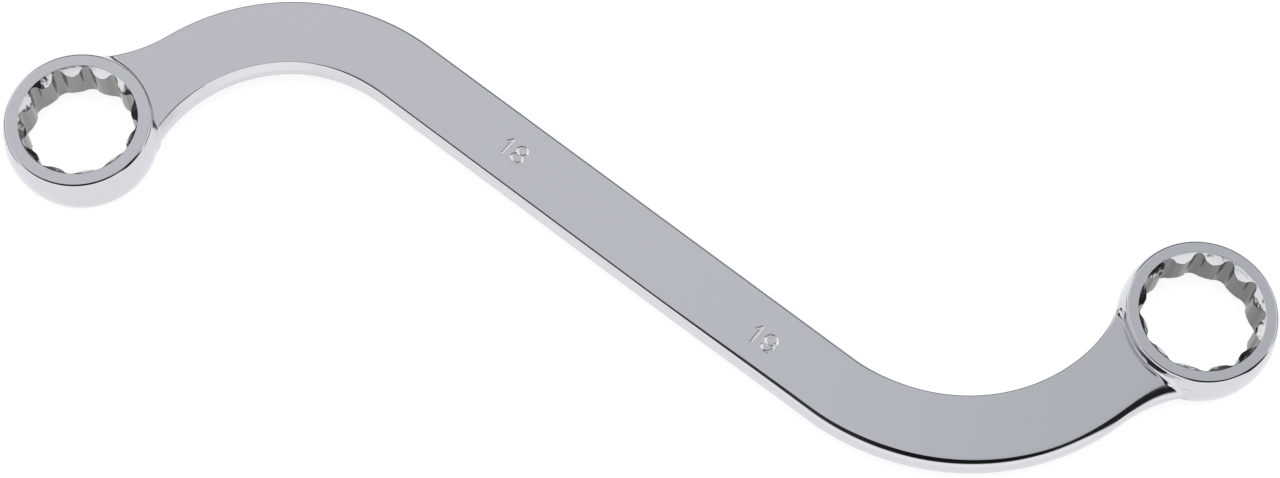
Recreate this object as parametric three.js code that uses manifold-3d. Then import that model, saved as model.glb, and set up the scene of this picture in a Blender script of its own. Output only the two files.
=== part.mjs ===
// An S-shaped box wrench for 18 mm and 19 mm nuts: a chromed forging with a ring at each end.
// The straight grip bar runs into a bend at each end, and each bend into the flared neck of a ring.
// Millimetres, +Z up. The wrench lies flat: the line through the ring centres is X, and the
// origin is below the middle of the wrench's outline, on the surface that it lies on.

import * as THREE from "three";
import { mergeVertices } from "three/addons/utils/BufferGeometryUtils.js";
import Module from "manifold-3d";

const wasm = await Module();
wasm.setup();

// Shank
const SHANK_WIDTH = 13.6;
const SHANK_THICKNESS = 4.8;
const EDGE_ROUND = 0.8; // radius of the four long edges
const BAR_LENGTH = 97.8;

// Rings
const HEAD_HEIGHT = 9.7;
const RIM_ROUND = 0.5; // radius of a ring's outer top and bottom edges
const WALL_CROWN = 0.9; // how far the ring's wall swells from its rims to its middle
const NECK_FLARE = 26; // radius, seen from above, of the neck's run-out into the ring
const FLARE_BITE = 0.3; // how far inside the ring's wall the run-out ends
const NECK_FILLET = 1; // radius of the corner between the ring's wall and the shank's faces

// Twelve-point sockets
const FLAT_CLEARANCE = 0.1; // between a nut's flats and the socket's
const FLUTE_ROUND = 1.3; // radius of the flutes that clear a nut's points
const FLUTE_RELIEF = 0.25; // how far the flutes reach past the points of a sharp hexagon
const FLUTE_EDGE_ROUND = 1; // between a flute and the flat beside it
const LOBE_ROUND = 1.6; // radius of the ridges between the flutes
const LEAD_IN_MARGIN = 0.4; // how far the mouth stands outside the points of a sharp hexagon
const LEAD_IN_SLOPE = THREE.MathUtils.degToRad(50); // of the lead-in cone, from the ring's face
const SOCKET_TURN = THREE.MathUtils.degToRad(-9); // from the neck's direction to a flute

// The 18 mm end
const SMALL_NUT_FLATS = 18;
const SMALL_HEAD_DIAMETER = 28.3;
const SMALL_BEND_RADIUS = 33.5; // of the shank's centreline
const SMALL_BEND_SWEEP = THREE.MathUtils.degToRad(73.4);
const SMALL_NECK_STRAIGHT = 0.2; // between the end of the bend and the start of the flare

// The 19 mm end
const LARGE_NUT_FLATS = 19;
const LARGE_HEAD_DIAMETER = 28.9;
const LARGE_BEND_RADIUS = 38.7;
const LARGE_BEND_SWEEP = THREE.MathUtils.degToRad(75.4);
const LARGE_NECK_STRAIGHT = 0.5;

// The two ends, as they lie outward from the grip bar
const ENDS = [
  {
    size: "18mm",
    nutFlats: SMALL_NUT_FLATS,
    headDiameter: SMALL_HEAD_DIAMETER,
    bendRadius: SMALL_BEND_RADIUS,
    bendSweep: SMALL_BEND_SWEEP,
    neckStraight: SMALL_NECK_STRAIGHT,
    direction: Math.PI,
  },
  {
    size: "19mm",
    nutFlats: LARGE_NUT_FLATS,
    headDiameter: LARGE_HEAD_DIAMETER,
    bendRadius: LARGE_BEND_RADIUS,
    bendSweep: LARGE_BEND_SWEEP,
    neckStraight: LARGE_NECK_STRAIGHT,
    direction: 0,
  },
];

// Fineness of the round stretches
const ROUND_STEPS = 2; // half the chords in a small quarter round
const FLARE_STEPS = 4; // half the chords in a flare
const CROWN_STEPS = 8;
const RING_STEPS = 72;
const BEND_STEP = THREE.MathUtils.degToRad(3);

const POINT_STEP = Math.PI / 6; // between the flutes, which fit a nut's points in twelve places
const OVERCUT = 1; // how far a cutting shape runs past what it cuts

const chrome = () => new THREE.MeshStandardMaterial({ color: 0xc8c9ce, roughness: 0.12, metalness: 1 });

function toSolid(geometry) {
  geometry.deleteAttribute("normal");
  geometry.deleteAttribute("uv");
  const merged = mergeVertices(geometry);
  return new wasm.Manifold(
    new wasm.Mesh({
      numProp: 3,
      vertProperties: merged.attributes.position.array,
      triVerts: new Uint32Array(merged.index.array),
    }),
  );
}

function toGeometry(solid) {
  const mesh = solid.getMesh();
  const geometry = new THREE.BufferGeometry();
  geometry.setAttribute("position", new THREE.BufferAttribute(mesh.vertProperties, 3));
  geometry.setIndex(new THREE.BufferAttribute(mesh.triVerts, 1));
  geometry.computeVertexNormals();
  return geometry;
}

// A solid of revolution about Z, from (radius, height) points that run from bottom to top.
function revolve(profile) {
  const geometry = new THREE.LatheGeometry(profile, RING_STEPS);
  return toSolid(geometry.rotateX(Math.PI / 2));
}

// The shank's cross-section: x across its thickness, y across its width.
function shankSection() {
  const x = SHANK_THICKNESS / 2 - EDGE_ROUND;
  const y = SHANK_WIDTH / 2 - EDGE_ROUND;
  const corners = [
    [x, y],
    [-x, y],
    [-x, -y],
    [x, -y],
  ];
  const section = new THREE.Shape();
  corners.forEach(([cornerX, cornerY], quarter) => {
    const start = (quarter * Math.PI) / 2;
    section.absarc(cornerX, cornerY, EDGE_ROUND, start, start + Math.PI / 2, false);
  });
  return section;
}

function shankAlong(path, steps) {
  const settings = { extrudePath: path, steps, curveSegments: ROUND_STEPS };
  return new THREE.ExtrudeGeometry(shankSection(), settings);
}

// A bend's centreline: it leaves the origin along X and turns left.
class BendCurve extends THREE.Curve {
  constructor(radius, sweep) {
    super();
    this.radius = radius;
    this.sweep = sweep;
  }

  getPoint(t, target = new THREE.Vector3()) {
    const angle = t * this.sweep;
    return target.set(this.radius * Math.sin(angle), this.radius * (1 - Math.cos(angle)), 0);
  }

  getTangent(t, target = new THREE.Vector3()) {
    const angle = t * this.sweep;
    return target.set(Math.cos(angle), Math.sin(angle), 0);
  }
}

function gripBar() {
  const halfLength = BAR_LENGTH / 2;
  const axis = new THREE.LineCurve3(
    new THREE.Vector3(-halfLength, 0, 0),
    new THREE.Vector3(halfLength, 0, 0),
  );
  return shankAlong(axis, 1);
}

function bend(end) {
  const steps = Math.ceil(end.bendSweep / BEND_STEP);
  return shankAlong(new BendCurve(end.bendRadius, end.bendSweep), steps);
}

// Where a neck's flare ends: the radius that it runs in to, and its reach from the ring's centre.
function flareOf(end) {
  const inner = end.headDiameter / 2 - FLARE_BITE;
  const centreOffset = SHANK_WIDTH / 2 + NECK_FLARE;
  const reach = Math.sqrt((inner + NECK_FLARE) ** 2 - centreOffset ** 2);
  return { centreOffset, reach, turn: Math.atan2(reach, centreOffset) };
}

function neckLength(end) {
  return flareOf(end).reach + end.neckStraight;
}

// The neck seen from above, with the ring's centre at the origin and the shank towards -X.
function neckOutline(end, inset) {
  const { centreOffset, reach, turn } = flareOf(end);
  const radius = NECK_FLARE + inset;
  const back = -neckLength(end) - OVERCUT - EDGE_ROUND;
  const half = SHANK_WIDTH / 2 - inset;
  const outline = new THREE.Shape();
  outline.moveTo(back, -half);
  outline.absarc(-reach, -centreOffset, radius, Math.PI / 2, Math.PI / 2 - turn, true);
  outline.absarc(-reach, centreOffset, radius, turn - Math.PI / 2, -Math.PI / 2, true);
  outline.lineTo(back, half);
  outline.closePath();
  return outline;
}

function neck(end) {
  const geometry = new THREE.ExtrudeGeometry(neckOutline(end, 0), {
    depth: SHANK_THICKNESS - 2 * EDGE_ROUND,
    bevelThickness: EDGE_ROUND,
    bevelSize: EDGE_ROUND,
    bevelOffset: -EDGE_ROUND,
    bevelSegments: 2 * ROUND_STEPS,
    curveSegments: FLARE_STEPS,
  });
  return toSolid(geometry.translate(0, 0, EDGE_ROUND - SHANK_THICKNESS / 2));
}

// Radius of a ring's crowned wall at a height above its middle plane.
function wallRadius(end, height) {
  const share = height / (HEAD_HEIGHT / 2);
  return end.headDiameter / 2 - WALL_CROWN * share ** 2;
}

function ring(end) {
  const top = HEAD_HEIGHT / 2;
  const roundStart = top - RIM_ROUND;
  const profile = [new THREE.Vector2(0, -top)];
  const rim = new THREE.Path();
  rim.absarc(wallRadius(end, roundStart) - RIM_ROUND, -roundStart, RIM_ROUND, -Math.PI / 2, 0, false);
  profile.push(...rim.getPoints(ROUND_STEPS));
  for (let step = 1; step < CROWN_STEPS; step += 1) {
    const height = roundStart * ((2 * step) / CROWN_STEPS - 1);
    profile.push(new THREE.Vector2(wallRadius(end, height), height));
  }
  const upperRim = new THREE.Path();
  upperRim.absarc(wallRadius(end, roundStart) - RIM_ROUND, roundStart, RIM_ROUND, 0, Math.PI / 2, false);
  profile.push(...upperRim.getPoints(ROUND_STEPS), new THREE.Vector2(0, top));
  return revolve(profile);
}

// The hollow corner where the ring's wall stands on the shank, above and below it.
function neckFillet(end) {
  const face = SHANK_THICKNESS / 2;
  const wall = wallRadius(end, face + NECK_FILLET);
  const inner = wall - NECK_FILLET;
  const lower = new THREE.Path();
  lower.absarc(wall + NECK_FILLET, -face - NECK_FILLET, NECK_FILLET, Math.PI, Math.PI / 2, true);
  const upper = new THREE.Path();
  upper.absarc(wall + NECK_FILLET, face + NECK_FILLET, NECK_FILLET, -Math.PI / 2, -Math.PI, true);
  const start = new THREE.Vector2(inner, -face - NECK_FILLET);
  const profile = [
    start,
    ...lower.getPoints(ROUND_STEPS),
    ...upper.getPoints(ROUND_STEPS),
    new THREE.Vector2(inner, face + NECK_FILLET),
    start.clone(),
  ];
  const flat = new THREE.ExtrudeGeometry(neckOutline(end, EDGE_ROUND), {
    depth: HEAD_HEIGHT,
    bevelEnabled: false,
    curveSegments: FLARE_STEPS,
  });
  return revolve(profile).intersect(toSolid(flat.translate(0, 0, -HEAD_HEIGHT / 2)));
}

// Where a socket's rounds lie: how far their centres are from the axis, how far a flute's round turns to
// either side, and the angle from a flute to the edge round that joins it to the flat beside it.
function socketRounds(end) {
  const apothem = (end.nutFlats + FLAT_CLEARANCE) / 2;
  const fluteReach = apothem / Math.cos(POINT_STEP) + FLUTE_RELIEF - FLUTE_ROUND;
  const rise = apothem + FLUTE_EDGE_ROUND - fluteReach * Math.cos(POINT_STEP);
  const run = Math.sqrt((FLUTE_ROUND + FLUTE_EDGE_ROUND) ** 2 - rise ** 2);
  const lean = Math.atan2(run, rise);
  const edge = new THREE.Vector2(apothem + FLUTE_EDGE_ROUND, run - fluteReach * Math.sin(POINT_STEP));
  return {
    fluteReach,
    fluteTurn: POINT_STEP + lean,
    edgeReach: edge.length(),
    edgeTurn: POINT_STEP + edge.angle(),
    lobeReach: (apothem + LOBE_ROUND) / Math.cos(POINT_STEP / 2),
  };
}

// Twelve rounded flutes, with flats and a rounded ridge between each flute and the next.
function socketOutline(end) {
  const { fluteReach, fluteTurn, edgeReach, edgeTurn, lobeReach } = socketRounds(end);
  const outline = new THREE.Shape();
  const addRound = (reach, turn, radius, from, to) => {
    outline.absarc(reach * Math.cos(turn), reach * Math.sin(turn), radius, from, to, to < from);
  };
  for (let turned = 0; turned < 2 * Math.PI - POINT_STEP / 2; turned += POINT_STEP) {
    const flute = SOCKET_TURN + Math.PI + turned;
    const lobe = flute + POINT_STEP / 2;
    const next = flute + POINT_STEP;
    const flat = flute + Math.PI + POINT_STEP;
    const nextFlat = next + Math.PI - POINT_STEP;
    addRound(fluteReach, flute, FLUTE_ROUND, flute - fluteTurn, flute + fluteTurn);
    addRound(edgeReach, flute + edgeTurn, FLUTE_EDGE_ROUND, flute + fluteTurn + Math.PI, flat);
    addRound(lobeReach, lobe, LOBE_ROUND, flat, nextFlat);
    addRound(edgeReach, next - edgeTurn, FLUTE_EDGE_ROUND, nextFlat, next + Math.PI - fluteTurn);
  }
  return outline;
}

function socket(end) {
  const depth = HEAD_HEIGHT + 2 * OVERCUT;
  const settings = { depth, bevelEnabled: false, curveSegments: ROUND_STEPS };
  const geometry = new THREE.ExtrudeGeometry(socketOutline(end), settings);
  return toSolid(geometry.translate(0, 0, -depth / 2));
}

// The cone that guides a nut in at the upper face, running from outside the flutes to the ridges.
function leadIn(end) {
  const apothem = (end.nutFlats + FLAT_CLEARANCE) / 2;
  const mouth = apothem / Math.cos(POINT_STEP) + LEAD_IN_MARGIN;
  const rise = Math.tan(LEAD_IN_SLOPE);
  const top = HEAD_HEIGHT / 2;
  const tip = apothem - OVERCUT;
  const profile = [
    new THREE.Vector2(0, top - (mouth - tip) * rise),
    new THREE.Vector2(tip, top - (mouth - tip) * rise),
    new THREE.Vector2(mouth + OVERCUT, top + OVERCUT * rise),
    new THREE.Vector2(0, top + OVERCUT * rise),
  ];
  return revolve(profile);
}

function boxEnd(end) {
  const upperLeadIn = leadIn(end);
  const span = SHANK_WIDTH + 2 * OVERCUT;
  const behind = new THREE.BoxGeometry(span, span, span);
  behind.translate(-neckLength(end) - span / 2, 0, 0);
  const solid = ring(end)
    .add(neck(end).subtract(toSolid(behind)))
    .add(neckFillet(end))
    .subtract(socket(end))
    .subtract(upperLeadIn)
    .subtract(upperLeadIn.rotate([180, 0, 0]));
  return toGeometry(solid);
}

function named(name, geometry) {
  const mesh = new THREE.Mesh(geometry, chrome());
  mesh.name = name;
  return mesh;
}

// One end of the wrench, from the end of the grip bar outward: the bend, then the box end.
function wrenchEnd(end) {
  const arm = new THREE.Group();
  arm.position.x = BAR_LENGTH / 2;
  const head = new THREE.Group();
  new BendCurve(end.bendRadius, end.bendSweep).getPoint(1, head.position);
  head.rotation.z = end.bendSweep;
  const boxEndMesh = named(`box_end_${end.size}`, boxEnd(end));
  boxEndMesh.position.x = neckLength(end);
  head.add(boxEndMesh);
  arm.add(named(`bend_${end.size}`, bend(end)), head);
  const side = new THREE.Group();
  side.rotation.z = end.direction;
  side.add(arm);
  return { side, boxEndMesh };
}

// The wrench is built along its grip bar, then turned and moved into its own frame.
const wrench = new THREE.Group();
const alongBar = new THREE.Group();
const [small, large] = ENDS.map(wrenchEnd);
alongBar.add(named("grip_bar", gripBar()), small.side, large.side);
wrench.add(alongBar);
wrench.updateMatrixWorld(true);

const smallCentre = small.boxEndMesh.getWorldPosition(new THREE.Vector3());
const largeCentre = large.boxEndMesh.getWorldPosition(new THREE.Vector3());
alongBar.rotation.z = -Math.atan2(largeCentre.y - smallCentre.y, largeCentre.x - smallCentre.x);
const outline = new THREE.Box3().setFromObject(wrench, true);
const middle = outline.getCenter(new THREE.Vector3());
alongBar.position.set(-middle.x, -middle.y, -outline.min.z);

export default wrench;
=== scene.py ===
"""Studio view of the S-shaped box wrench: five stretches of one chromed forging on a pale floor.

Metres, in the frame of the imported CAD: +Z up, the line through the ring centres along X."""
import math
from types import SimpleNamespace

import bpy
import numpy as np
from mathutils import Matrix, Vector


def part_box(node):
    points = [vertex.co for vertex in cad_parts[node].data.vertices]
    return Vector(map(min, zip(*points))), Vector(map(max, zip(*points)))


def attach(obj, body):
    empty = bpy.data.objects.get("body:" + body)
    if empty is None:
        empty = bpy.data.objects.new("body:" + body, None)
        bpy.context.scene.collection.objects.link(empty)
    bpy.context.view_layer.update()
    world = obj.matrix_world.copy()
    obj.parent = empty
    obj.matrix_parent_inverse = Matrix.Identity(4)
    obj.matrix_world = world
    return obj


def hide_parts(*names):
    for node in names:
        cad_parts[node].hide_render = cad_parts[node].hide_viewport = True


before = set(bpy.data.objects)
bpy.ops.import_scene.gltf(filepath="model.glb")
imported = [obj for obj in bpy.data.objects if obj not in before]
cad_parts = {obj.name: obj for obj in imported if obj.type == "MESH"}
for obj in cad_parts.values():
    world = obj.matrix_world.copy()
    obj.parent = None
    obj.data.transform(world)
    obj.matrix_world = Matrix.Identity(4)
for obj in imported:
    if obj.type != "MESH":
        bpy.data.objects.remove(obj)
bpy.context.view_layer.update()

MM = 0.001

# Shank
SHANK_WIDTH = 13.6 * MM
SHANK_THICKNESS = 4.8 * MM
BAR_LENGTH = 97.8 * MM
BAR_ROUND = 0.9 * MM  # radius of the bar's long edges
SWELL_START = 10 * MM  # from the bar's middle, where its near edge starts to grow rounder
SWELL_ROUND = 1.7 * MM  # radius of that edge at the bar's end
SLANT_TILT = math.radians(58)  # of the slanted edges, from the upper face
LEAST_SLANT = 0.01 * MM

# Rings
HEAD_HEIGHT = 9.7 * MM
RIM_ROUND = 0.5 * MM
WALL_CROWN = 0.9 * MM
NECK_FLARE = 26 * MM
FLARE_BITE = 0.3 * MM
FILLET_EDGE = 2.15 * MM  # radius of the hollow between wall and shank, at the neck's edges
FILLET_SIDE = 0.5 * MM  # and seen from above
FILLET_TAPER = 2.6 * MM  # from the flare's end, where the hollow is that narrow, to its full radius
FILLET_STEP = 0.12 * MM  # how far the ground face of the shank cuts into the hollow, leaving a crease
CREASE_ROUND = 0.1 * MM
FLARE_BLEND = math.radians(3)  # stretch of the wall, past the flare, that blends into it
UPRIGHT_TURN = math.radians(30)  # to either side of the neck, how far the wall above it stands upright
UPRIGHT_BLEND = math.radians(14)

# Twelve-point sockets
SOCKET_POINTS = 12
FLAT_CLEARANCE = 0.1 * MM
FLUTE_ROUND = 1.3 * MM
FLUTE_RELIEF = 0.25 * MM
FLUTE_EDGE_ROUND = 1 * MM
LOBE_ROUND = 1.6 * MM
LEAD_IN_MARGIN = 0.4 * MM
LEAD_IN_SLOPE = math.radians(50)
LEAD_IN_SOFTENING = math.radians(5)  # how much flatter its worn surface looks than its slope
LEAD_IN_CROWN = math.radians(3)  # turn of its surface from the middle to either edge
SOCKET_TURN = math.radians(-9)  # of a flute, from the line that runs away from the shank
EDGE_BREAK = 0.05 * MM  # half the width of the softened edges round the socket

ENDS = [
    SimpleNamespace(
        size="18mm",
        nut_flats=18 * MM,
        radius=28.3 / 2 * MM,
        bend_radius=33.5 * MM,
        bend_sweep=math.radians(73.4),
        neck_straight=0.2 * MM,
        inner_round=0.12 * MM,  # of the edges inside the bend, and of the neck that follows
        inner_slant=0.92 * MM,  # width, seen from above, of the slant that is ground on those edges
        outer_start=BAR_ROUND,  # of the edges outside the bend, where it leaves the bar
        outer_round=0.5 * MM,  # further on
        crease_round=0.5 * MM,  # and where the neck meets the ring, in height
        crease_spread=0.5 * MM,  # and in width
        run_in=math.radians(40),  # stretch of the bend in which the edges swell to those sizes
        fillet_least=0.35 * MM,  # radius of the neck's hollow where it is narrowest
        fillet_place=3.5 * MM,  # from the neck's middle to there, towards the inside of the bend
        fillet_spans=(11.8 * MM, 6 * MM),  # and on, out and in, to where the hollow is widest
        fillet_growth=(1.25, 3.4),  # power with which it widens, out and in
        # grey of the socket's steel: its own dull tone, darkened further as painted shade in the bore
        socket_grey_and_shade=0.235,
        direction=math.pi,
    ),
    SimpleNamespace(
        size="19mm",
        nut_flats=19 * MM,
        radius=28.9 / 2 * MM,
        bend_radius=38.7 * MM,
        bend_sweep=math.radians(75.4),
        neck_straight=0.5 * MM,
        inner_round=0.5 * MM,
        inner_slant=0,
        outer_start=SWELL_ROUND,
        outer_round=2 * MM,
        crease_round=2.35 * MM,
        crease_spread=5.6 * MM,
        run_in=math.radians(22),
        fillet_least=0.12 * MM,
        fillet_place=2.5 * MM,
        fillet_spans=(9.2 * MM, 7 * MM),
        fillet_growth=(2.7, 3.4),
        # darker than the 18mm's grey: more painted shade in this bore
        socket_grey_and_shade=0.15,
        direction=0,
    ),
]

# Pressed size numbers on the bar
DIGIT_HEIGHT = 3.4 * MM
DIGIT_WIDTH = 2.2 * MM
DIGIT_STEP = 2.7 * MM  # from one digit's middle to the next
GROOVE_HALF_WIDTH = 0.3 * MM
GROOVE_DEPTH = 0.16 * MM
NUMBER_MARGIN = 1 * MM  # of finely divided face round a number
NUMBERS = [
    SimpleNamespace(text="18", along=-23.2 * MM, across=-0.15 * MM),
    SimpleNamespace(text="19", along=34.3 * MM, across=-0.65 * MM),
]

# Fineness of the shank's meshes
BEND_STEPS = 60  # along a bend
BAR_STEPS = 24  # along the bar, away from its numbers
PLACE_DIGITS = 7  # decimals to which places along the bar are told apart
FACE_STEPS = 8  # across a flat face without numbers
SIDE_STEPS = 4  # down a side
BEND_ROUND_STEPS = 6  # round each half of a bend's edges
BAR_ROUND_STEPS = 3  # and of the bar's
EDGE_STEPS = 6  # from the rows of the numbers to the edge of the face
NUMBER_GRID = 0.09 * MM
STROKE_STEPS = 32  # along a round stroke

# Fineness of the rings' meshes
RIM_STEPS = 8
SOCKET_STEPS = (6, 3, 2, 3)  # in half a flute, round its edge, on the flat, and on half a ridge
SOCKET_ROWS = (0.0, 0.35, 0.7, 1.0)  # as shares of the socket's wall above its middle
BAND_ROWS = (0.0, 0.5, 1.0)  # as shares of the lead-in, and of the ring's face
WINDOW_ROWS = 20  # of the window in the ring's wall that the neck grows from
NECK_LOOPS = 56  # from that window to the neck's end
NECK_CROWDING = 2.2  # power that brings these loops closer together at the ring
NECK_GAP = 0.01 * MM  # from the window to where the loops start
NECK_CORE = 1.2 * MM  # depth below the wall from which the sides of the neck are traced
FLAT_SHARE = 0.7  # of the columns over the neck, the share on its flat faces and not on its edges
FACE_START = 0.15  # share of the loops after which points on those faces move to their place across
FACE_RUN = 0.45  # share that they take for it
SIDE_RUN = 0.25  # share that points on the neck's sides take
CLEAR_RISE = 0.6  # how fast points on the faces draw away from the ring's wall at first
CLEAR_DRIFT = 0.05  # and further on
EDGE_GAP = 0.02 * MM  # least distance of those points from the neck's sides
EDGE_SHARE = 0.35  # share of the section's inset that is added to it further on
SLANT_ROOM = 1.4  # inset of the section beside a slant, as a multiple of the slant's width

# Tracing of the rings' surface
HALVINGS = 40  # of the stretch in which a ray leaves the metal
NORMAL_STEP = 0.002 * MM
SETTLE_STEPS = 150  # at most, to unfold the mesh
LEAST_AGREEMENT = 0.4  # between a face's own direction and its surface's
FOLD_REACH = 3  # how many faces round a fold are moved with it
PROJECTIONS = 3  # of a moved point, back onto the surface
TINY = 1e-20  # keeps a division by a length from failing

HALF_WIDTH = SHANK_WIDTH / 2
HALF_THICKNESS = SHANK_THICKNESS / 2
HALF_HEIGHT = HEAD_HEIGHT / 2
HALF_STEP = math.pi / SOCKET_POINTS  # from a flute of the socket to a ridge
FACE = 2 * HALF_STEP  # from a flute to the line that a flat beside it is square to


def left_of(heading):
    return np.stack([-np.sin(heading), np.cos(heading)], -1)


def ahead_of(heading):
    return np.stack([np.cos(heading), np.sin(heading)], -1)


def raised(flat, height):
    """Flat points, or directions, with one height for all."""
    return np.concatenate([flat, np.full((len(flat), 1), height)], 1)


def smooth_step(share):
    share = np.clip(share, 0, 1)
    return share * share * (3 - 2 * share)


# The path of the shank, with the grip bar along X round the origin

def flare_of(end):
    """Where the neck's flare starts, and the point where it runs into the ring's wall."""
    inner = end.radius - FLARE_BITE
    centre_offset = HALF_WIDTH + NECK_FLARE
    reach = math.sqrt((inner + NECK_FLARE) ** 2 - centre_offset**2)
    share = inner / (inner + NECK_FLARE)
    return SimpleNamespace(reach=reach, touch_x=-reach * share, touch_y=centre_offset * share)


def neck_length(end):
    return flare_of(end).reach + end.neck_straight


def bend_points(end, sweeps):
    start = ahead_of(end.direction) * BAR_LENGTH / 2
    centre = start + left_of(end.direction) * end.bend_radius
    return centre - left_of(end.direction + sweeps) * end.bend_radius


def ring_heading(end):
    return end.direction + end.bend_sweep


def ring_centre(end):
    finish = bend_points(end, np.array(end.bend_sweep))
    return finish + ahead_of(ring_heading(end)) * neck_length(end)


def laid_out():
    """The turn and shift that bring the path onto the ring centres of the CAD."""
    small, large = ENDS
    span = ring_centre(large) - ring_centre(small)
    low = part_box("box_end_18mm")[0]
    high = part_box("box_end_19mm")[1]
    middle_x = (low.x + small.radius + high.x - large.radius) / 2
    middle_y = (low.y + small.radius + high.y - large.radius) / 2
    turn = Matrix.Rotation(-math.atan2(span[1], span[0]), 4, "Z")
    off = turn @ Vector((*(ring_centre(small) + ring_centre(large)) / 2, 0))
    return Matrix.Translation((middle_x - off.x, middle_y - off.y, HALF_HEIGHT)) @ turn


LAY = laid_out()


# Meshes

def new_piece(name, points, faces, normals, materials, face_materials, nodes):
    mesh = bpy.data.meshes.new(name)
    mesh.from_pydata(points.tolist(), [], faces)
    for material in materials:
        mesh.materials.append(material)
    mesh.polygons.foreach_set("material_index", face_materials)
    mesh.shade_smooth()
    mesh.transform(LAY)
    turned = normals @ np.array(LAY.to_3x3()).T
    mesh.normals_split_custom_set_from_vertices(turned.tolist())
    piece = bpy.data.objects.new(name, mesh)
    bpy.context.scene.collection.objects.link(piece)
    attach(piece, "root")
    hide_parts(*nodes)


def loop_faces(count, loops):
    """Quads between neighbouring loops of points, and a cap on the first and the last."""
    faces = []
    for k in range(loops - 1):
        for b in range(count):
            c = (b + 1) % count
            faces.append((k * count + b, k * count + c, (k + 1) * count + c, (k + 1) * count + b))
    faces.append(tuple(range(count - 1, -1, -1)))
    faces.append(tuple((loops - 1) * count + b for b in range(count)))
    return faces


# Shank stretches: a rounded rectangle carried along the path

def section_loop(top_shares, round_steps):
    """Points round the section: place on the inner rectangle (-1 to 1), normal, and 1 above the slant."""
    plain = np.linspace(1, -1, FACE_STEPS + 1)[1:-1]
    side = np.linspace(1, -1, SIDE_STEPS + 1)[1:-1]
    edge = [(a, 1) for a in np.linspace(0, SLANT_TILT, round_steps + 1)]
    edge += [(a, 0) for a in np.linspace(SLANT_TILT, math.pi / 2, round_steps + 1)]
    loop = [(share, 1, 0, 1, 1) for share in top_shares]
    loop += [(-1, 1, -math.sin(a), math.cos(a), above) for a, above in edge]
    loop += [(-1, share, -1, 0, 0) for share in side]
    loop += [(-1, -1, -math.sin(a), -math.cos(a), above) for a, above in reversed(edge)]
    loop += [(-share, -1, 0, -1, 1) for share in plain]
    loop += [(1, -1, math.sin(a), -math.cos(a), above) for a, above in edge]
    loop += [(1, -share, 1, 0, 0) for share in side]
    loop += [(1, 1, math.sin(a), math.cos(a), above) for a, above in reversed(edge)]
    return np.array(loop).T


def sweep(centres, headings, left_edge, right_edge, loop):
    """Points and normals of a section carried along a path, with the (round, slant) of its edges."""
    across, up, normal_across, normal_up, above = (part[None, :] for part in loop)
    left_round, left_slant, right_round, right_slant = (part[:, None] for part in (*left_edge, *right_edge))
    rounding = np.where(across > 0, left_round, right_round)
    drop = np.where(across > 0, left_slant, right_slant) * math.tan(SLANT_TILT) * (1 - above)
    low = right_round + right_slant * above - HALF_WIDTH
    high = HALF_WIDTH - left_round - left_slant * above
    offset = low + (high - low) * (across + 1) / 2 + normal_across * rounding
    rise = up * (HALF_THICKNESS - rounding - drop) + normal_up * rounding
    sides = left_of(headings)[:, None, :]
    flat = centres[:, None, :] + offset[:, :, None] * sides
    points = np.concatenate([flat, rise[:, :, None]], 2)
    level = np.broadcast_to(normal_across[:, :, None], offset.shape + (1,)) * sides
    normals = np.concatenate([level, np.broadcast_to(normal_up[:, :, None], offset.shape + (1,))], 2)
    return points.reshape(-1, 3), normals.reshape(-1, 3)


def bend(end, chrome):
    sweeps = np.linspace(0, end.bend_sweep, BEND_STEPS + 1)
    swell = smooth_step(sweeps / end.run_in)
    inner = BAR_ROUND + (end.inner_round - BAR_ROUND) * swell, LEAST_SLANT + end.inner_slant * swell
    outer = end.outer_start + (end.outer_round - end.outer_start) * swell, np.full_like(swell, LEAST_SLANT)
    loop = section_loop(np.linspace(1, -1, FACE_STEPS + 1)[1:-1], BEND_ROUND_STEPS)
    points, normals = sweep(bend_points(end, sweeps), end.direction + sweeps, inner, outer, loop)
    faces = loop_faces(loop.shape[1], len(sweeps))
    name = "bend_" + end.size
    new_piece("forged_" + name, points, faces, normals, [chrome], [0] * len(faces), [name])


# Pressed numbers

def ring_stroke(x, y, width, height, start=0.0, finish=math.tau):
    turns = np.linspace(start, finish, STROKE_STEPS + 1)
    return np.stack([x + width * np.cos(turns), y + height * np.sin(turns)], 1)


def digit_strokes(digit):
    """Centre lines of a digit one high and one wide, round its middle."""
    if digit == "1":
        return [np.array([(-0.04, -0.5), (-0.04, 0.5), (-0.38, 0.22)])]
    if digit == "8":
        return [ring_stroke(0, 0.25, 0.44, 0.25), ring_stroke(0, -0.25, 0.5, 0.25)]
    tail = ring_stroke(0, -0.12, 0.5, 0.38, math.radians(-150), math.radians(40))
    return [ring_stroke(0, 0.16, 0.5, 0.3), tail]


def number_strokes(number):
    strokes = []
    for place, digit in enumerate(number.text):
        along = number.along + (place - (len(number.text) - 1) / 2) * DIGIT_STEP
        for stroke in digit_strokes(digit):
            strokes.append(stroke * [DIGIT_WIDTH, DIGIT_HEIGHT] + [along, number.across])
    return strokes


def stroke_distance(points, strokes):
    nearest = np.full(len(points), np.inf)
    for stroke in strokes:
        for start, finish in zip(stroke[:-1], stroke[1:]):
            run = finish - start
            share = np.clip((points - start) @ run / (run @ run), 0, 1)
            apart = np.linalg.norm(points - start - share[:, None] * run, axis=1)
            nearest = np.minimum(nearest, apart)
    return nearest


def pressed_depth(points, strokes):
    return -GROOVE_DEPTH * smooth_step(1 - stroke_distance(points, strokes) / GROOVE_HALF_WIDTH)


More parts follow.
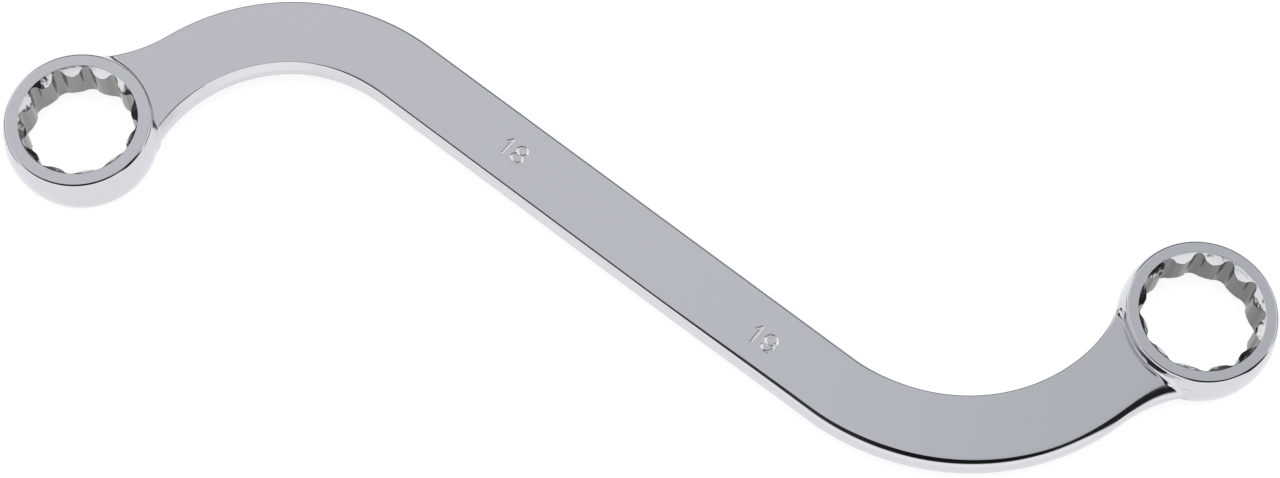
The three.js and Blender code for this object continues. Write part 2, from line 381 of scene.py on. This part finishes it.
def press_numbers(points, normals):
    """Sinks the numbers into the bar's upper face, and tells which points lie in them."""
    strokes = [stroke for number in NUMBERS for stroke in number_strokes(number)]
    skin = BAR_ROUND / 100
    nudge = GROOVE_HALF_WIDTH / 50
    upper = np.flatnonzero(points[:, 2] > HALF_THICKNESS - skin)
    flat = points[upper, :2]
    points[upper, 2] += pressed_depth(flat, strokes)
    for axis, step in enumerate(np.eye(2) * nudge):
        slope = (pressed_depth(flat + step, strokes) - pressed_depth(flat - step, strokes)) / (2 * nudge)
        normals[upper, axis] -= slope
    normals /= np.linalg.norm(normals, axis=1)[:, None]
    pressed = np.zeros(len(points), bool)
    pressed[upper] = stroke_distance(flat, strokes) < GROOVE_HALF_WIDTH
    return pressed


def bar_grid():
    """Places along the bar and shares across its upper face, close together round the numbers."""
    reach = DIGIT_HEIGHT / 2 + NUMBER_MARGIN
    spread = (DIGIT_STEP + DIGIT_WIDTH) / 2 + NUMBER_MARGIN
    stations = [np.linspace(-BAR_LENGTH / 2, BAR_LENGTH / 2, BAR_STEPS + 1)]
    for number in NUMBERS:
        steps = int(2 * spread / NUMBER_GRID)
        stations.append(np.linspace(number.along - spread, number.along + spread, steps))
    along = np.unique(np.concatenate(stations).round(PLACE_DIGITS))
    inner_half = HALF_WIDTH - BAR_ROUND
    middle = np.linspace(reach, -reach, int(2 * reach / NUMBER_GRID)) / inner_half
    edge = np.linspace(1, reach / inner_half, EDGE_STEPS + 1)[1:-1]
    return along, np.concatenate([edge, middle, -edge[::-1]])


def grip_bar(chrome, grooves_and_highlight):
    along, top_shares = bar_grid()
    swell = smooth_step((along - SWELL_START) / (BAR_LENGTH / 2 - SWELL_START))
    slants = np.full(len(along), LEAST_SLANT)
    far_edge = np.full(len(along), BAR_ROUND), slants
    near_edge = BAR_ROUND + (SWELL_ROUND - BAR_ROUND) * swell, slants
    loop = section_loop(top_shares, BAR_ROUND_STEPS)
    centres = np.stack([along, np.zeros_like(along)], 1)
    points, normals = sweep(centres, np.zeros_like(along), far_edge, near_edge, loop)
    pressed = press_numbers(points, normals)
    faces = loop_faces(loop.shape[1], len(along))
    # faces inside the grooves take the steel with the painted highlight
    kinds = [int(all(pressed[b] for b in face)) for face in faces]
    new_piece("forged_grip_bar", points, faces, normals, [chrome, grooves_and_highlight], kinds, ["grip_bar"])


# Surface of ring and neck, with the ring's centre at the origin and the shank towards -X

def filleted(a, b, radius):
    corner = np.hypot(np.maximum(radius - a, 0), np.maximum(radius - b, 0))
    return np.maximum(radius, np.minimum(a, b)) - corner


def rounded_off(a, b, radius):
    corner = np.hypot(np.maximum(a + radius, 0), np.maximum(b + radius, 0))
    return np.minimum(-radius, np.maximum(a, b)) + corner


def wall_radius(end, height):
    return end.radius - WALL_CROWN * (height / HALF_HEIGHT) ** 2


def neck_half_width(end, x):
    run = np.clip(x + flare_of(end).reach, 0, NECK_FLARE)
    return HALF_WIDTH + NECK_FLARE - np.sqrt(NECK_FLARE**2 - run**2)


def neck_rounds(end, x):
    """Height and width of the roll along the neck's outer edges, which may grow towards the ring."""
    flare = flare_of(end)
    share = smooth_step((x + flare.reach) / (flare.reach + flare.touch_x))
    height = end.outer_round + (end.crease_round - end.outer_round) * share
    width = end.outer_round + (end.crease_spread - end.outer_round) * share
    return height, width


def neck_slab(end, side, over, x, y):
    """How far points lie outside the neck's slab, whose inner edge may be slanted."""
    height, width = neck_rounds(end, x)
    inner = rounded_off(side, over, end.inner_round)
    plain = np.where(y > 0, inner, rounded_off(side * height / width, over, height))
    slant = (side + end.inner_slant) * math.sin(SLANT_TILT) + over * math.cos(SLANT_TILT)
    slanted = rounded_off(rounded_off(side, slant, end.inner_round), over, end.inner_round)
    return np.where((y > 0) & (end.inner_slant > 0), slanted, plain)


def neck_hollow(end, y):
    """Radius of the hollow between the ring's wall and the neck."""
    off = y - end.fillet_place
    out_span, in_span = end.fillet_spans
    out_growth, in_growth = end.fillet_growth
    widening = np.clip(-off / out_span, 0, 1) ** out_growth + np.clip(off / in_span, 0, 1) ** in_growth
    return end.fillet_least + (FILLET_EDGE - end.fillet_least) * widening


def outside(end, points):
    """How far points lie outside the ring and its neck, below zero inside; the socket isn't cut."""
    x, y, z = points[..., 0], points[..., 1], points[..., 2]
    height = np.abs(z)
    upright = smooth_step((height - HALF_THICKNESS + FILLET_SIDE) / FILLET_SIDE)
    turn = np.abs(np.arctan2(y, -x))
    beside = upright * smooth_step((UPRIGHT_TURN + UPRIGHT_BLEND - turn) / UPRIGHT_BLEND)
    rim = end.radius - WALL_CROWN
    radius = wall_radius(end, height)
    wall = np.hypot(x, y) - (radius + (np.minimum(rim, radius) - radius) * beside)
    ring = rounded_off(wall, height - HALF_HEIGHT, RIM_ROUND)
    flare = flare_of(end)
    depth = np.hypot(np.maximum(x + flare.reach, 0), HALF_WIDTH + NECK_FLARE - np.abs(y))
    side = np.maximum(NECK_FLARE - depth, x - flare.touch_x)
    slab = neck_slab(end, side, height - HALF_THICKNESS, x, y)
    inward = smooth_step((flare.touch_y - np.abs(y)) / FILLET_TAPER)
    hollow = FILLET_SIDE + (neck_hollow(end, y) - FILLET_SIDE) * upright * inward
    blend = filleted(ring, slab + FILLET_STEP * upright, hollow)
    return filleted(slab, blend, CREASE_ROUND * upright)


def surface_along(end, starts, directions, longest):
    """The points where rays from inside the metal leave it."""
    low = np.zeros(starts.shape[:-1])
    high = np.full(starts.shape[:-1], longest)
    for _ in range(HALVINGS):
        middle = (low + high) / 2
        inside = outside(end, starts + directions * middle[..., None]) < 0
        low = np.where(inside, middle, low)
        high = np.where(inside, high, middle)
    return starts + directions * low[..., None]


def surface_normals(end, points):
    nudges = np.eye(3) * NORMAL_STEP
    slopes = [outside(end, points + nudge) - outside(end, points - nudge) for nudge in nudges]
    normals = np.stack(slopes, -1)
    return normals / np.maximum(np.linalg.norm(normals, axis=-1, keepdims=True), TINY)


def settled(end, points, quads, free):
    """Points slid along the surface, away from places where faces fold over, and their normals."""
    normals = surface_normals(end, points)
    beside = np.concatenate([quads[:, [a, b]] for a, b in ((0, 1), (1, 2), (2, 3), (3, 0))])
    beside = np.concatenate([beside, beside[:, ::-1]])
    count = np.maximum(np.bincount(beside[:, 0], minlength=len(points)), 1)[:, None]
    for _ in range(SETTLE_STEPS):
        corners = points[quads]
        facing = np.cross(corners[:, 2] - corners[:, 0], corners[:, 3] - corners[:, 1])
        facing /= np.maximum(np.linalg.norm(facing, axis=1, keepdims=True), TINY)
        folded = np.einsum("ij,ij->i", facing, normals[quads].mean(1)) < LEAST_AGREEMENT
        if not folded.any():
            break
        loose = np.zeros(len(points), bool)
        for _ in range(FOLD_REACH):
            loose[quads[folded]] = True
            folded = loose[quads].any(1)
        loose &= free
        total = np.zeros_like(points)
        np.add.at(total, beside[:, 0], points[beside[:, 1]])
        moved = (points[loose] + total[loose] / count[loose]) / 2
        for _ in range(PROJECTIONS):
            moved -= outside(end, moved)[:, None] * surface_normals(end, moved)
        points[loose] = moved
        normals[loose] = surface_normals(end, moved)
    return points, normals


# Twelve-point socket

def apothem_of(end):
    return (end.nut_flats + FLAT_CLEARANCE) / 2


def socket_rounds(end):
    """Where the socket's rounds lie, seen from a flute, and the angles at which each ends."""
    apothem = apothem_of(end)
    flute = apothem / math.cos(FACE) + FLUTE_RELIEF - FLUTE_ROUND
    rise = apothem + FLUTE_EDGE_ROUND - flute * math.cos(FACE)
    run = math.sqrt((FLUTE_ROUND + FLUTE_EDGE_ROUND) ** 2 - rise**2)
    tangent = FACE + math.atan2(run, rise)
    edge_along = flute * math.sin(FACE) - run
    edge_out = apothem + FLUTE_EDGE_ROUND
    return SimpleNamespace(
        flute=flute,
        flute_end=math.atan2(FLUTE_ROUND * math.sin(tangent), flute + FLUTE_ROUND * math.cos(tangent)),
        edge=math.hypot(edge_out, edge_along),
        edge_turn=FACE - math.atan2(edge_along, edge_out),
        edge_end=FACE - math.atan2(edge_along, apothem),
        lobe=(apothem + LOBE_ROUND) / math.cos(HALF_STEP),
        lobe_start=FACE - math.atan2((apothem + LOBE_ROUND) * math.tan(HALF_STEP), apothem),
    )


def on_round(reach, radius, turn, side):
    """Radius at which a ray meets a circle, on its near side (-1) or its far side (1)."""
    return reach * np.cos(turn) + side * np.sqrt(np.maximum(radius**2 - (reach * np.sin(turn)) ** 2, 0))


def socket_wall(end, turns):
    """Radius of the socket's wall at each angle, and the angle that its metal faces away from."""
    rounds = socket_rounds(end)
    folded = np.mod(turns - SOCKET_TURN + HALF_STEP, 2 * HALF_STEP) - HALF_STEP
    sign = np.where(folded < 0, -1, 1)
    turn = np.abs(folded)
    stretch = [turn < rounds.flute_end, turn < rounds.edge_end, turn < rounds.lobe_start]
    in_flute = on_round(rounds.flute, FLUTE_ROUND, turn, 1)
    on_edge = on_round(rounds.edge, FLUTE_EDGE_ROUND, turn - rounds.edge_turn, -1)
    on_flat = apothem_of(end) / np.cos(FACE - turn)
    on_lobe = on_round(rounds.lobe, LOBE_ROUND, turn - HALF_STEP, -1)
    radius = np.select(stretch, [in_flute, on_edge, on_flat], on_lobe)

    def towards(reach, centre_turn):
        x = reach * math.cos(centre_turn) - radius * np.cos(turn)
        y = reach * math.sin(centre_turn) - radius * np.sin(turn)
        return np.arctan2(y, x)

    from_flute = np.arctan2(radius * np.sin(turn), radius * np.cos(turn) - rounds.flute)
    facings = [from_flute, towards(rounds.edge, rounds.edge_turn), np.full_like(turn, FACE)]
    facing = np.select(stretch, facings, towards(rounds.lobe, HALF_STEP))
    return radius, turns - folded + sign * facing


def socket_turns(end):
    """Angles of the ring's columns, closer together in the flutes and at the ridges."""
    rounds = socket_rounds(end)
    limits = [0, rounds.flute_end, rounds.edge_end, rounds.lobe_start, HALF_STEP]
    shares = [np.linspace(a, b, n + 1)[:-1] for a, b, n in zip(limits[:-1], limits[1:], SOCKET_STEPS)]
    rising = np.concatenate(shares)
    falling = 2 * HALF_STEP - rising[:0:-1]
    sector = np.concatenate([rising, [HALF_STEP], falling])
    return np.concatenate([SOCKET_TURN + k * 2 * HALF_STEP + sector for k in range(SOCKET_POINTS)])


# Mesh of the ring: rows of points, one for each column, round its section

def face_edge(end):
    return wall_radius(end, HALF_HEIGHT) - RIM_ROUND


def upper_profile(end, radius):
    """Rows of (radius, height, kind) from the socket's middle to the edge of the ring's face."""
    mouth = apothem_of(end) / math.cos(FACE) + LEAD_IN_MARGIN
    rise = math.tan(LEAD_IN_SLOPE)
    deep = HALF_HEIGHT - (mouth - radius) * rise
    same = np.ones_like(radius)
    rows = [(radius, share * (deep - EDGE_BREAK), "socket") for share in SOCKET_ROWS]
    span = mouth - EDGE_BREAK - (radius + EDGE_BREAK)
    for share in BAND_ROWS:
        place = radius + EDGE_BREAK + share * span
        rows.append((place, HALF_HEIGHT - (mouth - place) * rise, "lead_in"))
    for share in BAND_ROWS:
        place = mouth + EDGE_BREAK + share * (face_edge(end) - mouth - EDGE_BREAK)
        rows.append((place * same, HALF_HEIGHT * same, "face"))
    return rows


def socket_rows(end, turns, side):
    """Rows of (points, normals, kind) from the socket's middle to the edge of the ring's face, upper (1)
    or lower (-1)."""
    spokes = ahead_of(turns)
    radius, facing = socket_wall(end, turns)
    profile = upper_profile(end, radius)
    lowest = min(height.min() for _, height, kind in profile if kind == "lead_in")
    rows = []
    for place, height, kind in profile:
        points = np.concatenate([spokes * place[:, None], (height * side)[:, None]], 1)
        normals = raised(0 * spokes, float(side))
        if kind == "socket":
            normals = raised(-ahead_of(facing), 0)
        elif kind == "lead_in":
            sunk = (HALF_HEIGHT - height) / (HALF_HEIGHT - lowest)
            slope = LEAD_IN_SLOPE - LEAD_IN_SOFTENING + LEAD_IN_CROWN * (2 * sunk - 1)
            normals = np.concatenate([spokes * -np.sin(slope)[:, None], np.cos(slope)[:, None] * side], 1)
        rows.append((points, normals, kind))
    return rows


def rim_rows(end, spokes, side):
    """Points round the rim, from the edge of the ring's face to its wall."""
    starts = raised(spokes * face_edge(end), side * (HALF_HEIGHT - RIM_ROUND))
    longest = 3 * RIM_ROUND
    rows = []
    for tilt in np.linspace(0, math.pi / 2, RIM_STEPS + 1)[1:]:
        rays = raised(spokes * math.sin(tilt), side * math.cos(tilt))
        rows.append(surface_along(end, starts, rays, longest))
    return rows


def wall_heights():
    """Heights of the rows down the ring's wall: one above the neck's window, its own, and one below."""
    shoulder = HALF_HEIGHT - RIM_ROUND
    window_top = shoulder - RIM_ROUND / 4
    between = (shoulder + window_top) / 2
    return [between, *np.linspace(window_top, -window_top, WINDOW_ROWS + 1), -between]


def ring_rows(end, turns):
    """Rows of (points, normals, kind) round the ring's section, first over its upper face."""
    spokes = ahead_of(turns)
    rays = raised(spokes, 0)
    core = spokes * (end.radius - 2 * WALL_CROWN)
    longest = 6 * WALL_CROWN
    wall = rim_rows(end, spokes, 1)
    wall += [surface_along(end, raised(core, height), rays, longest) for height in wall_heights()]
    wall += reversed(rim_rows(end, spokes, -1))
    rows = socket_rows(end, turns, 1)
    rows += [(points, surface_normals(end, points), "wall") for points in wall]
    return rows + socket_rows(end, turns, -1)[:0:-1]


def ring_faces(kinds, columns, window):
    """Quads between the ring's rows, without those in the neck's window, and the finish of each."""
    rows = len(kinds)
    faces, finishes = [], []
    for i in range(rows):
        k = (i + 1) % rows
        pair = (kinds[i], kinds[k])
        finish = 1 if "socket" in pair else 2 if pair == ("lead_in", "lead_in") else 0
        for j in range(columns):
            if window.top <= i < window.bottom and window.first <= j < window.last:
                continue
            n = (j + 1) % columns
            faces.append((i * columns + j, k * columns + j, k * columns + n, i * columns + n))
            finishes.append(finish)
    return faces, finishes


# Mesh of the neck: loops of points, from a window in the ring's wall to the bend

def neck_window(end, turns, kinds):
    """The rows and columns of the ring between which the neck takes the place of its wall."""
    flare = flare_of(end)
    spread = math.atan2(flare.touch_y, -flare.touch_x) + FLARE_BLEND
    over_neck = np.flatnonzero(np.abs(turns - math.pi) <= spread)
    top = kinds.index("wall") + RIM_STEPS + 1
    return SimpleNamespace(top=top, bottom=top + WINDOW_ROWS, first=over_neck[0], last=over_neck[-1])


def window_rim(window):
    """Row and column of each point round the window."""
    rim = [(window.top, j) for j in range(window.first, window.last + 1)]
    rim += [(i, window.last) for i in range(window.top + 1, window.bottom + 1)]
    rim += [(window.bottom, j) for j in range(window.last - 1, window.first - 1, -1)]
    rim += [(i, window.first) for i in range(window.bottom - 1, window.top, -1)]
    return rim


def neck_places(turns, rim, window):
    """Where each point of a loop belongs: on a flat face or not, its place on the section's inner
    rectangle (-1 to 1, across and up), and the tilt of its ray from upright."""
    on_face, across, up, tilts = [], [], [], []
    round_rows = WINDOW_ROWS // 3
    for i, j in rim:
        off = math.pi - turns[j]
        side = 1 if off > 0 else -1
        on_face.append(i in (window.top, window.bottom))
        if on_face[-1]:
            end_turn = turns[window.first] if side > 0 else turns[window.last]
            reach = abs(off) / abs(math.pi - end_turn)
            across.append(side * min(reach / FLAT_SHARE, 1))
            up.append(1 if i == window.top else -1)
            tilts.append(max(reach - FLAT_SHARE, 0) / (1 - FLAT_SHARE) * math.pi / 4)
            continue
        down = i - window.top
        share = 1 - 2 * (down - round_rows) / (WINDOW_ROWS - 2 * round_rows)
        across.append(side)
        up.append(min(max(share, -1), 1))
        tilts.append(math.pi / 4 * (1 + min(min(down, WINDOW_ROWS - down) / round_rows, 1)))
    return np.array(on_face), np.array(across), np.array(up), np.array(tilts)


def neck_inset(end, y):
    """How far the neck's section is drawn in, on each side, to leave its edges outside."""
    return np.where(y > 0, max(end.inner_round, SLANT_ROOM * end.inner_slant), end.crease_round)


def clear_of_ring(x, gone, half, inset, rim_radius):
    """How far from the neck's middle line a point on its faces lies to be clear of the ring's wall."""
    clear = rim_radius + np.minimum(CLEAR_RISE * gone, NECK_CORE / 2) + CLEAR_DRIFT * gone
    edge = EDGE_GAP + EDGE_SHARE * inset * smooth_step(gone / NECK_CORE / 2)
    beside = np.minimum(np.sqrt(np.maximum(clear**2 - x**2, 0)), half - edge)
    return beside * (1 - smooth_step((gone - 2 * NECK_CORE) / NECK_CORE / 2))


def neck_loops(end, rim_points, places):
    """Loops of points down the neck, the last one on its flat end."""
    on_face, across, up, tilts = places
    rim_x, rim_y, rim_z = rim_points.T
    side = np.where(rim_y > 0, 1, -1)
    level = np.where(rim_z > 0, 1, -1)
    inset = neck_inset(end, across)
    start = rim_x - NECK_GAP
    start_half = neck_half_width(end, start) - inset
    rim_radius = np.hypot(rim_x, rim_y)
    last_z = up * (HALF_THICKNESS - inset)
    longest = 2 * (inset.max() + FILLET_EDGE)
    loops = []
    for k in range(1, NECK_LOOPS + 1):
        run = k / NECK_LOOPS
        x = start + run**NECK_CROWDING * (-neck_length(end) - start)
        half = neck_half_width(end, x)
        share = np.where(on_face, smooth_step((run - FACE_START) / FACE_RUN), smooth_step(run / SIDE_RUN))
        y = np.where(on_face, rim_y / start_half * (half - inset), rim_y - side * NECK_CORE)
        y = y + share * (across * (half - inset) - y)
        beside = clear_of_ring(x, start - x, half, inset, rim_radius)
        y = np.where(on_face, side * np.maximum(np.abs(y), beside), y)
        z = np.where(on_face, last_z, rim_z)
        z = z + share * (last_z - z)
        tilt = np.where(on_face, 0, math.pi / 2)
        tilt = tilt + share * (tilts - tilt)
        rays = np.stack([0 * x, side * np.sin(tilt), level * np.cos(tilt)], 1)
        loops.append(surface_along(end, np.stack([x, y, z], 1), rays, longest))
    return loops


def neck_faces(rim_index, first):
    """Quads from the window's rim down the neck, whose points start at first, and a cap on its end."""
    count = len(rim_index)
    lines = [rim_index] + [first + k * count + np.arange(count) for k in range(NECK_LOOPS)]
    faces = []
    for near, far in zip(lines[:-1], lines[1:]):
        for b in range(count):
            c = (b + 1) % count
            faces.append((near[b], far[b], far[c], near[c]))
    faces.append(tuple(lines[-1]))
    return faces


def box_end(end, chrome, satin_and_shade, turned):
    turns = socket_turns(end)
    columns = len(turns)
    rows = ring_rows(end, turns)
    kinds = [kind for _, _, kind in rows]
    ring = np.concatenate([points for points, _, _ in rows])
    ring_normals = np.concatenate([normals for _, normals, _ in rows])
    window = neck_window(end, turns, kinds)
    rim = window_rim(window)
    rim_index = np.array([i * columns + j for i, j in rim])
    neck = np.concatenate(neck_loops(end, ring[rim_index], neck_places(turns, rim, window)))
    points = np.concatenate([ring, neck])
    normals = np.concatenate([ring_normals, surface_normals(end, neck)])
    faces, finishes = ring_faces(kinds, columns, window)
    tube = neck_faces(rim_index, len(ring))
    faces += tube
    finishes += [0] * len(tube)

    wall = np.ones(len(points), bool)
    wall[: len(ring)] = np.repeat([kind == "wall" for kind in kinds], columns)
    free = wall.copy()
    free[-len(rim):] = False
    quads = np.array([face for face in faces if len(face) == 4])
    slid, slid_normals = settled(end, points.copy(), quads[wall[quads].all(1)], free)
    points[free] = slid[free]
    normals[free] = slid_normals[free]

    used = np.zeros(len(points), bool)
    used[[b for face in faces for b in face]] = True
    index = np.cumsum(used) - 1
    faces = [tuple(int(index[b]) for b in face) for face in faces]
    turn = np.array(Matrix.Rotation(ring_heading(end), 3, "Z")).T
    placed = points[used] @ turn + np.array([*ring_centre(end), 0])
    name = "box_end_" + end.size
    materials = [chrome, satin_and_shade, turned]
    new_piece("forged_" + name, placed, faces, normals[used] @ turn, materials, finishes, [name])


# Finishes

def shader(name):
    material = bpy.data.materials.new(name)
    material.use_nodes = True
    return material.node_tree, material.node_tree.nodes["Principled BSDF"], material


def node(tree, kind, **values):
    made = tree.nodes.new(kind)
    for key, value in values.items():
        if key in made.inputs:
            made.inputs[key].default_value = value
        else:
            setattr(made, key, value)
    return made


def noise(tree, place, scale, detail):
    texture = node(tree, "ShaderNodeTexNoise", Scale=scale, Detail=detail)
    tree.links.new(place, texture.inputs["Vector"])
    return texture.outputs["Fac"]


def raise_bumps(tree, metal, texture, strength, distance):
    relief = node(tree, "ShaderNodeBump", Strength=strength, Distance=distance)
    tree.links.new(texture, relief.inputs["Height"])
    tree.links.new(relief.outputs["Normal"], metal.inputs["Normal"])


def polished_chrome():
    """Bright plate with a haze that varies a little, and waves that are barely seen."""
    tree, plate, material = shader("polished_chrome")
    plate.inputs["Base Color"].default_value = (0.59, 0.60, 0.63, 1)
    plate.inputs["Metallic"].default_value = 1
    place = node(tree, "ShaderNodeTexCoord")
    waves = noise(tree, place.outputs["Object"], scale=70, detail=1)
    haze = node(tree, "ShaderNodeMapRange")
    haze.inputs["To Min"].default_value = 0.07
    haze.inputs["To Max"].default_value = 0.13
    tree.links.new(waves, haze.inputs["Value"])
    tree.links.new(haze.outputs["Result"], plate.inputs["Roughness"])
    raise_bumps(tree, plate, waves, strength=0.25, distance=0.2 * MM)
    return material


def broached_and_shaded_steel(end):
    """Satin steel with the upright lines that the broach leaves; its dull grey is darkened as painted shade
    in the bore.
    """
    tree, steel, material = shader("broached_shaded_socket_" + end.size)
    # the steel's own dull grey, with the painted shade of the bore in it
    grey = end.socket_grey_and_shade
    steel.inputs["Base Color"].default_value = (grey, grey, 0.98 * grey, 1)
    steel.inputs["Metallic"].default_value = 1
    steel.inputs["Roughness"].default_value = 0.26
    place = node(tree, "ShaderNodeTexCoord")
    stretch = node(tree, "ShaderNodeMapping")
    stretch.inputs["Scale"].default_value = (1, 1, 0.06)
    tree.links.new(place.outputs["Object"], stretch.inputs["Vector"])
    lines = noise(tree, stretch.outputs["Vector"], scale=2500, detail=2)
    raise_bumps(tree, steel, lines, strength=0.3, distance=0.05 * MM)
    return material


def turned_steel():
    tree, steel, material = shader("lead_ins")
    steel.inputs["Base Color"].default_value = (0.59, 0.60, 0.61, 1)
    steel.inputs["Metallic"].default_value = 1
    steel.inputs["Roughness"].default_value = 0.12
    place = node(tree, "ShaderNodeTexCoord")
    ripples = noise(tree, place.outputs["Object"], scale=700, detail=1)
    raise_bumps(tree, steel, ripples, strength=1, distance=0.1 * MM)
    return material


def groove_steel_with_highlight():
    _, steel, material = shader("pressed_numbers_highlight")
    # lighter than any steel: a painted highlight in the grooves; the higher roughness is their satin finish
    steel.inputs["Base Color"].default_value = (0.92, 0.92, 0.94, 1)
    steel.inputs["Metallic"].default_value = 1
    steel.inputs["Roughness"].default_value = 0.3
    return material


def pale_floor():
    _, paint, material = shader("pale_floor")
    paint.inputs["Base Color"].default_value = (0.2, 0.2, 0.2, 1)
    paint.inputs["Roughness"].default_value = 0.9
    paint.inputs["Emission Color"].default_value = (1, 1, 1, 1)
    paint.inputs["Emission Strength"].default_value = 0.85
    return material


# Studio

FLOOR_SIZE = 6.0
CAMERA_PLACE = (22.85 * MM, -205.04 * MM, 485.82 * MM)
CAMERA_TURN = (0.4028, -0.0284, 0.1719)
CAMERA_NEAR = 0.01
FOCAL_PIXELS = 2900
PICTURE_WIDTH = 1280
SENSOR = 36
LIGHT_PLACE = (0.0, 0.2, 1.6)
LIGHT_SIZE = 1.6
LIGHT_WATTS = 30

# The room's grey from the horizon up, and its zones of another tone. A zone is a list of steps, each with
# an axis of the direction of view, where on it the zone begins and where it is full.
ROOM_HORIZON = (1.3, 1.3, 1.3, 1)
ROOM_ZENITH = (0.78, 0.79, 0.82, 1)
ROOM_BETWEEN = {0.35: (1.25, 1.25, 1.275, 1), 0.75: (0.85, 0.85, 0.867, 1)}
DIM_ZONE = [("X", -0.02, 0.18), ("Z", 0.7, 0.85)]  # high on the right
DIM_TONE = (0.68, 0.69, 0.72, 1)
FRONT_ZONE = [("Y", -0.15, -0.23), ("Z", 0.5, 0.6), ("X", -0.78, -0.64), ("X", 0.74, 0.58)]  # high in front
FRONT_CHANGE = [("X", -0.5, 0.05)]  # from its left tone to its right one
FRONT_LEFT_TONE = (0.05, 0.05, 0.05, 1)
FRONT_RIGHT_TONE = (0.012, 0.012, 0.012, 1)
RIGHT_ZONE = [("X", 0.36, 0.5), ("Y", 0.08, -0.02), ("Z", 0.06, 0.14), ("Y", -0.5, -0.38)]  # and in front
RIGHT_TONE = (0.02, 0.02, 0.02, 1)
LOW_STEP = ("Z", 0.34, 0.24)  # near the floor, at both far ends
FAR_LEFT_ZONE = [("X", -0.86, -0.93), LOW_STEP]
FAR_RIGHT_ZONE = [("X", 0.66, 0.78), ("Y", 0.05, 0.2), LOW_STEP]
FAR_TONE = (0.04, 0.04, 0.04, 1)
BACK_ZONE = [("Y", 0.6, 0.8), ("Z", 0.68, 0.5)]  # low down behind the wrench
BACK_TONE = (0.16, 0.16, 0.165, 1)


def floor():
    mesh = bpy.data.meshes.new("floor")
    half = FLOOR_SIZE / 2
    corners = [(-half, -half, 0), (half, -half, 0), (half, half, 0), (-half, half, 0)]
    mesh.from_pydata(corners, [], [(0, 1, 2, 3)])
    mesh.materials.append(pale_floor())
    ground = bpy.data.objects.new("floor", mesh)
    bpy.context.scene.collection.objects.link(ground)


def camera():
    data = bpy.data.cameras.new("camera")
    data.sensor_width = SENSOR
    data.lens = FOCAL_PIXELS / PICTURE_WIDTH * SENSOR
    data.clip_start = CAMERA_NEAR
    seen = bpy.data.objects.new("camera", data)
    seen.location = CAMERA_PLACE
    seen.rotation_euler = CAMERA_TURN
    bpy.context.scene.collection.objects.link(seen)
    bpy.context.scene.camera = seen


def ramp_step(tree, value, low, high):
    step = node(tree, "ShaderNodeMapRange", interpolation_type="SMOOTHSTEP")
    step.inputs["From Min"].default_value = low
    step.inputs["From Max"].default_value = high
    tree.links.new(value, step.inputs["Value"])
    return step.outputs["Result"]


def both(tree, one, other):
    product = node(tree, "ShaderNodeMath", operation="MULTIPLY")
    tree.links.new(one, product.inputs[0])
    tree.links.new(other, product.inputs[1])
    return product.outputs[0]


def within(tree, view, zone):
    """How far the direction of view lies within all steps of a zone, from 0 to 1."""
    steps = [ramp_step(tree, view.outputs[axis], low, high) for axis, low, high in zone]
    share = steps[0]
    for step in steps[1:]:
        share = both(tree, share, step)
    return share


def blended(tree, share, first, second):
    """A mix of two colours, each a value or the output of a node."""
    mix = node(tree, "ShaderNodeMix", data_type="RGBA")
    tree.links.new(share, mix.inputs[0])
    for socket, colour in ((mix.inputs[6], first), (mix.inputs[7], second)):
        if isinstance(colour, tuple):
            socket.default_value = colour
        else:
            tree.links.new(colour, socket)
    return mix.outputs[2]


def surroundings():
    """A pale room with dark zones, which the chrome mirrors as its dark lines."""
    world = bpy.data.worlds.new("studio")
    bpy.context.scene.world = world
    world.use_nodes = True
    tree = world.node_tree
    place = node(tree, "ShaderNodeTexCoord")
    view = node(tree, "ShaderNodeSeparateXYZ")
    tree.links.new(place.outputs["Generated"], view.inputs["Vector"])
    rise = node(tree, "ShaderNodeValToRGB")
    stops = rise.color_ramp.elements
    stops[0].color = ROOM_HORIZON
    stops[1].color = ROOM_ZENITH
    for height, tone in ROOM_BETWEEN.items():
        stops.new(height).color = tone
    tree.links.new(view.outputs["Z"], rise.inputs["Fac"])
    front_tone = blended(tree, within(tree, view, FRONT_CHANGE), FRONT_LEFT_TONE, FRONT_RIGHT_TONE)
    room = rise.outputs["Color"]
    for zone, tone in (
        (DIM_ZONE, DIM_TONE),
        (FRONT_ZONE, front_tone),
        (RIGHT_ZONE, RIGHT_TONE),
        (FAR_LEFT_ZONE, FAR_TONE),
        (FAR_RIGHT_ZONE, FAR_TONE),
        (BACK_ZONE, BACK_TONE),
    ):
        room = blended(tree, within(tree, view, zone), room, tone)
    tree.links.new(room, tree.nodes["Background"].inputs["Color"])


def overhead_light():
    """A soft light that the chrome doesn't mirror."""
    data = bpy.data.lights.new("overhead", "AREA")
    data.shape = "SQUARE"
    data.size = LIGHT_SIZE
    data.energy = LIGHT_WATTS
    lamp = bpy.data.objects.new("overhead", data)
    lamp.location = LIGHT_PLACE
    lamp.rotation_euler = (-Vector(LIGHT_PLACE)).to_track_quat("-Z", "Y").to_euler()
    lamp.visible_glossy = False
    bpy.context.scene.collection.objects.link(lamp)


chrome = polished_chrome()
turned = turned_steel()
for end in ENDS:
    box_end(end, chrome, broached_and_shaded_steel(end), turned)
    bend(end, chrome)
grip_bar(chrome, groove_steel_with_highlight())
floor()
camera()
surroundings()
overhead_light()
bpy.context.scene.view_settings.view_transform = "Standard"
